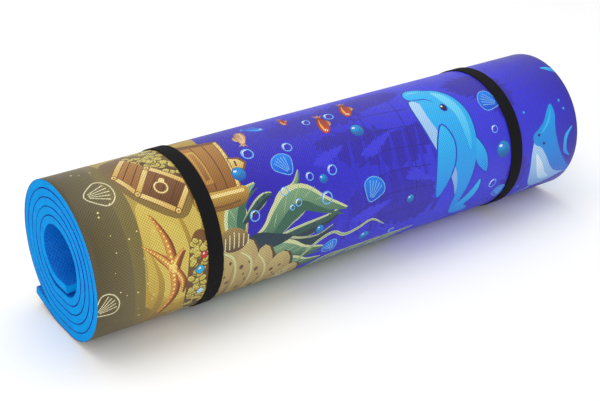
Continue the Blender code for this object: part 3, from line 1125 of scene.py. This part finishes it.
def strap_profile():
    """The webbing's outline: (across, height), with soft ribs on its outer face and rounded edges."""
    half = STRAP_WIDTH / 2
    across = np.linspace(-half + STRAP_EDGE, half - STRAP_EDGE, STRAP_RIBS * 4 + 1)
    ribs = STRAP_THICKNESS - RIB_DEPTH * (1 - np.abs(np.sin(np.linspace(0, STRAP_RIBS * math.pi,
                                                                        len(across))))) ** 2
    inset = STRAP_EDGE / 4
    edge = [(half - inset, STRAP_THICKNESS * 0.78), (half, STRAP_THICKNESS * 0.5),
            (half - inset, STRAP_THICKNESS * 0.22)]
    bottom = [(x, 0.0) for x in np.linspace(half - STRAP_EDGE, -half + STRAP_EDGE, 9)]
    other = [(-x, h) for x, h in edge[::-1]]
    return np.array(list(zip(across, ribs)) + edge + bottom + other)


def strap_route(belt, shift):
    """Points on the strap's resting line, their outward directions and the lengths along it."""
    points = np.array([point + shift for point, _ in belt] + [belt[0][0] + shift])
    normals = np.array([normal for _, normal in belt] + [belt[0][1]])
    lengths = np.concatenate([[0.0], np.cumsum(np.linalg.norm(np.diff(points, axis=0), axis=1))])
    lengths += np.arange(len(lengths)) * 1e-9
    return points, normals, lengths


def on_route(route, distance):
    """The point and the outward direction at a distance along a route, which goes round and round."""
    points, normals, lengths = route
    wrapped = distance % lengths[-1]
    point = np.array([np.interp(wrapped, lengths, points[:, c]) for c in range(2)])
    normal = np.array([np.interp(wrapped, lengths, normals[:, c]) for c in range(2)])
    return point, normal / np.linalg.norm(normal)


def lap_height(distance, around):
    """The height of the strap's inner face, which climbs over its own start."""
    rise = np.clip((distance - around + LAP_RISE_LENGTH) / LAP_RISE_LENGTH, 0, 1)
    return CLEARANCE * 0.5 + (STRAP_THICKNESS + CLEARANCE * 0.5) * rise * rise * (3 - 2 * rise)


def make_strap(side, route):
    """One woven elastic strap, once round the roll and lapped over its own start."""
    around = route[2][-1]
    profile = strap_profile()
    total = around + LAP_LENGTH
    rings, flat = [], []
    for distance in np.linspace(0, total, int(total / STRAP_STEP)):
        point, normal = on_route(route, distance)
        height = lap_height(distance, around)
        at_end = min(distance, total - distance) < STRAP_STEP
        shrink = STRAP_END_WIDTH if at_end else 1.0
        x = STRAP_CENTRES[side] + profile[:, 0] * shrink
        rise = height + profile[:, 1]
        rings.append(np.column_stack([x, point[0] + rise * normal[0], point[1] + rise * normal[1]]))
        flat += [(a, distance) for a in profile[:, 0]]
    strap = mesh_object("elastic_strap_" + side, np.vstack(rings), loft(rings))
    strap.data.flip_normals()
    add_uv(strap.data, flat)
    return strap


def make_seam(side, route):
    """The zigzag seam across a strap's lap, as one thread that dips into the webbing at each turn."""
    data = bpy.data.curves.new("seam_" + side, "CURVE")
    data.dimensions = "3D"
    data.bevel_depth = THREAD_RADIUS
    data.bevel_resolution = 3
    data.use_fill_caps = True
    points = []
    height = 2 * STRAP_THICKNESS + CLEARANCE + THREAD_RADIUS
    for row in range(STITCH_ROWS - 1):
        sign = (-1) ** row
        for share in np.linspace(0, 1, 7)[:-1]:
            point, normal = on_route(route, STITCH_LEAD + (row + share) * STITCH_ADVANCE)
            edge = abs(2 * share - 1)
            rise = height - STITCH_DIP * edge ** 6
            across = STRAP_CENTRES[side] + sign * STITCH_SPAN / 2 * (1 - 2 * share)
            points.append((across, point[0] + rise * normal[0], point[1] + rise * normal[1], 1.0))
    spline = data.splines.new("POLY")
    spline.points.add(len(points) - 1)
    for target, point in zip(spline.points, points):
        target.co = point
    seam = bpy.data.objects.new("seam_" + side, data)
    bpy.context.scene.collection.objects.link(seam)
    return seam


# ---------------------------------------------------------------- materials

class Nodes:
    """A short way to build one material's node tree."""

    def __init__(self, name):
        self.material = bpy.data.materials.new(name)
        self.material.use_nodes = True
        self.tree = self.material.node_tree
        self.shader = self.tree.nodes["Principled BSDF"]

    def add(self, kind, **values):
        """A node with its properties or its input sockets set by name."""
        node = self.tree.nodes.new(kind)
        for key, value in values.items():
            if hasattr(node, key):
                setattr(node, key, value)
            else:
                node.inputs[key.replace("_", " ")].default_value = value
        return node

    def link(self, source, target):
        """Joins an output to an input."""
        self.tree.links.new(source, target)

    def metres(self):
        """The UV map in metres."""
        return self.add("ShaderNodeUVMap", uv_map="metres").outputs["UV"]

    def mapped(self, source, scale, turn_deg=0.0):
        """Coordinates turned and scaled."""
        node = self.add("ShaderNodeMapping")
        node.inputs["Rotation"].default_value = (0, 0, math.radians(turn_deg))
        node.inputs["Scale"].default_value = (*scale, 1.0)
        self.link(source, node.inputs["Vector"])
        return node.outputs["Vector"]

    def noise(self, source, scale, detail=3.0, roughness=0.5):
        """A noise value."""
        node = self.add("ShaderNodeTexNoise", Scale=scale, Detail=detail, Roughness=roughness)
        self.link(source, node.inputs["Vector"])
        return node.outputs["Fac"]

    def cells(self, source, scale, randomness):
        """The distance to the nearest cell's middle."""
        node = self.add("ShaderNodeTexVoronoi", Scale=scale, Randomness=randomness)
        self.link(source, node.inputs["Vector"])
        return node.outputs["Distance"]

    def ramp(self, source, low, high, from_value=0.0, to_value=1.0):
        """A value carried from one range to another."""
        node = self.add("ShaderNodeMapRange")
        for key, value in (("From Min", low), ("From Max", high), ("To Min", from_value),
                           ("To Max", to_value)):
            node.inputs[key].default_value = value
        self.link(source, node.inputs["Value"])
        return node.outputs["Result"]

    def blend(self, factor, low, high):
        """A colour between two colours."""
        node = self.add("ShaderNodeMix", data_type="RGBA")
        self.link(factor, node.inputs["Factor"])
        for socket, value in ((node.inputs[6], low), (node.inputs[7], high)):
            if isinstance(value, bpy.types.NodeSocket):
                self.link(value, socket)
            else:
                socket.default_value = value
        return node.outputs[2]

    def bump(self, height, strength, distance, below=None):
        """A bump, on top of another one if given."""
        node = self.add("ShaderNodeBump", Strength=strength, Distance=distance)
        self.link(height, node.inputs["Height"])
        if below:
            self.link(below, node.inputs["Normal"])
        return node.outputs["Normal"]

    def finish(self, colour_source=None, roughness=None, normal=None, **fixed):
        """Connects what is given to the shader and sets the rest on its own sockets."""
        for source, socket in ((colour_source, "Base Color"), (roughness, "Roughness"),
                               (normal, "Normal")):
            if source:
                self.link(source, self.shader.inputs[socket])
        for key, value in fixed.items():
            self.shader.inputs[key.replace("_", " ")].default_value = value
        return self.material


def film_material(name, printed):
    """Satin film with a fine embossed lozenge pattern, whose pits are painted darker as shade."""
    n = Nodes(name)
    place = n.metres()
    dots = n.cells(n.mapped(place, (1 / EMBOSS_PITCH, 1 / EMBOSS_PITCH), 45.0), 1.0, 0.0)
    wear = n.noise(place, 26.0, 4.0)
    fine = n.noise(place, 900.0, 2.0)
    if printed:
        base = n.add("ShaderNodeVertexColor", layer_name="print").outputs["Color"]
    else:
        base = n.blend(n.noise(place, 9.0), colour("water_left"), colour("water_mid"))
    # Painted shade: the print is multiplied down to about half towards the middle of each emboss pit.
    inked = n.add("ShaderNodeMix", data_type="RGBA", blend_type="MULTIPLY")
    inked.inputs["Factor"].default_value = 1.0
    n.link(base, inked.inputs[6])
    n.link(n.blend(n.ramp(dots, 0.12, 0.5), (0.48, 0.48, 0.52, 1), (1, 1, 1, 1)), inked.inputs[7])
    rough = n.ramp(wear, 0.25, 0.75, 0.36, 0.47)
    normal = n.bump(dots, 0.9, 0.0005, n.bump(fine, 0.06, 0.0002))
    return n.finish(inked.outputs[2], rough, normal, Specular_IOR_Level=0.36)


def foam_cut_material():
    """The knife-cut edge of the foam: azure, with fine closed cells whose hollows are painted darker as
    shade.
    """
    n = Nodes("foam_cut")
    place = n.add("ShaderNodeTexCoord").outputs["Object"]
    cells = n.cells(place, 1500.0, 1.0)
    cloud = n.noise(place, 70.0, 4.0)
    tone = n.blend(n.ramp(cloud, 0.3, 0.7), colour((0, 138, 212)), colour((4, 154, 226)))
    # Painted shade: the colour darkens towards the middle of each cell, where the bump makes a hollow.
    tone_with_cell_shade = n.blend(n.ramp(cells, 0.1, 0.6), colour((0, 112, 190)), tone)
    normal = n.bump(cells, 0.35, 0.0004, n.bump(n.noise(place, 260.0, 3.0), 0.3, 0.0006))
    return n.finish(tone_with_cell_shade, n.ramp(cloud, 0.2, 0.8, 0.66, 0.82), normal, Specular_IOR_Level=0.04)


def foam_skin_material():
    """The foam's own skin on its unprinted face: deep azure, with short embossed dashes painted lighter
    as highlights.
    """
    n = Nodes("foam_skin")
    place = n.metres()
    dashes = n.cells(n.mapped(place, (1 / 0.0022, 1 / 0.0042), 45.0), 1.0, 0.25)
    cloud = n.noise(place, 40.0, 3.0)
    tone = n.blend(n.ramp(cloud, 0.3, 0.7), colour((0, 92, 186)), colour((0, 106, 200)))
    # Painted highlight: each embossed dash is painted a lighter azure than the skin around it.
    skin = n.blend(n.ramp(dashes, 0.15, 0.5), colour((6, 126, 220)), tone)
    return n.finish(skin, n.ramp(cloud, 0.2, 0.8, 0.5, 0.62), n.bump(dashes, 0.6, 0.0004),
                    Specular_IOR_Level=0.2)


def webbing_material():
    """Black woven elastic: fine picks across the ribs, with a slight sheen of fibre."""
    n = Nodes("elastic_webbing")
    place = n.metres()
    picks = n.add("ShaderNodeTexWave", wave_type="BANDS", bands_direction="Y", Scale=1.0, Distortion=0.6)
    n.link(n.mapped(place, (180.0, 260.0)), picks.inputs["Vector"])
    knots = n.cells(n.mapped(place, (1 / 0.0008, 1 / 0.0011)), 1.0, 0.3)
    fuzz = n.noise(place, 2600.0, 2.0)
    tone = n.blend(n.ramp(knots, 0.1, 0.7), colour((22, 22, 24)), colour((6, 6, 8)))
    normal = n.bump(knots, 0.7, 0.0003, n.bump(picks.outputs["Fac"], 0.4, 0.0002,
                                               n.bump(fuzz, 0.3, 0.0002)))
    return n.finish(tone, n.ramp(fuzz, 0.2, 0.8, 0.72, 0.92), normal, Specular_IOR_Level=0.16)


def thread_material():
    """Twisted black sewing thread."""
    n = Nodes("sewing_thread")
    place = n.add("ShaderNodeTexCoord").outputs["Object"]
    twist = n.add("ShaderNodeTexWave", wave_type="BANDS", bands_direction="DIAGONAL", Scale=420.0,
                  Distortion=0.4)
    n.link(place, twist.inputs["Vector"])
    tone = n.blend(twist.outputs["Fac"], colour((18, 18, 20)), colour((44, 44, 48)))
    return n.finish(tone, n.ramp(n.noise(place, 900.0), 0.2, 0.8, 0.55, 0.75),
                    n.bump(twist.outputs["Fac"], 0.8, 0.0002), Sheen_Weight=0.2)


def floor_material():
    """A plain pale floor."""
    n = Nodes("studio_floor")
    tone = n.noise(n.add("ShaderNodeTexCoord").outputs["Object"], 3.0)
    return n.finish(n.blend(tone, (0.93, 0.93, 0.93, 1), (0.95, 0.95, 0.95, 1)),
                    n.ramp(tone, 0, 1, 0.85, 0.9))


# ---------------------------------------------------------------- the studio

def make_floor():
    """A wide flat floor under the roll."""
    sides = ((-1, -1), (1, -1), (1, 1), (-1, 1))
    corners = [(FLOOR_REACH * x, FLOOR_REACH * y, FLOOR_HEIGHT) for x, y in sides]
    floor = mesh_object("studio_floor", corners, [(0, 1, 2, 3)], smooth=False)
    floor.data.materials.append(floor_material())


def add_softbox(name, place, target, size, power):
    """A square area light that looks at a target."""
    data = bpy.data.lights.new(name, "AREA")
    data.shape = "RECTANGLE"
    data.size, data.size_y = size
    data.energy = power
    light = bpy.data.objects.new(name, data)
    light.location = place
    light.rotation_euler = (Vector(target) - Vector(place)).to_track_quat("-Z", "Y").to_euler()
    bpy.context.scene.collection.objects.link(light)


def make_lights():
    """A bright white room with an overhead softbox and a lower one at the near left."""
    world = bpy.data.worlds.new("studio")
    world.use_nodes = True
    background = world.node_tree.nodes["Background"]
    background.inputs["Color"].default_value = (1.0, 1.0, 1.0, 1.0)
    background.inputs["Strength"].default_value = ROOM_BRIGHTNESS
    bpy.context.scene.world = world
    add_softbox("overhead", (-0.1, 0.25, 1.7), (0, 0, 0.08), (1.8, 1.2), 10)
    add_softbox("near_left", (-1.5, -1.1, 0.7), (-0.1, 0, 0.08), (0.9, 0.7), 9)


def make_camera():
    """The view from the near left, looking down along the roll."""
    data = bpy.data.cameras.new("view")
    data.lens = CAMERA_LENS_MM
    data.clip_start, data.clip_end = 0.01, 50.0
    camera = bpy.data.objects.new("view", data)
    camera.location = CAMERA_PLACE
    camera.rotation_euler = (math.radians(90 - CAMERA_PITCH_DEG), 0, -math.radians(CAMERA_YAW_DEG))
    bpy.context.scene.collection.objects.link(camera)
    bpy.context.scene.camera = camera
    bpy.context.scene.view_settings.view_transform = "Standard"


# ---------------------------------------------------------------- assembly

def attach(piece, body, node):
    """Makes a piece ride on its body and stand for its CAD node."""
    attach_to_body(piece, body)
    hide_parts(node)


def centre_shift(stations):
    """The move from the roll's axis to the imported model's frame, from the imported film's box."""
    low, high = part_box("printed_film")
    points = np.array([point for point, _ in stations])
    return Vector((low.y - points[:, 0].min(), high.z - points[:, 1].max()))


def make_pad(stations, shift):
    """The foam and both parts of its film."""
    section = Section(stations, shift)
    foam = make_foam(section)
    attach(foam, "pad_roll", "foam_pad")
    for film, printed in ((make_outer_film(section), True), (make_inner_film(section), False)):
        film.data.materials.append(film_material(film.name, printed))
        attach(film, "pad_roll", "printed_film")


def make_straps(belt, shift):
    """Both straps with their seams."""
    route = strap_route(belt, shift)
    webbing, thread = webbing_material(), thread_material()
    for side in STRAP_CENTRES:
        strap = make_strap(side, route)
        strap.data.materials.append(webbing)
        attach(strap, side + "_strap", "strap_" + side)
        seam = make_seam(side, route)
        seam.data.materials.append(thread)
        attach(seam, side + "_strap", "strap_" + side + "_stitching")


def main():
    """Builds the pad, its straps and the studio."""
    stations = pad_stations()
    belt = belt_line(stations)
    shift = centre_shift(stations)
    make_pad(stations, shift)
    make_straps(belt, shift)
    make_floor()
    make_lights()
    make_camera()
    bpy.context.view_layer.update()


main()
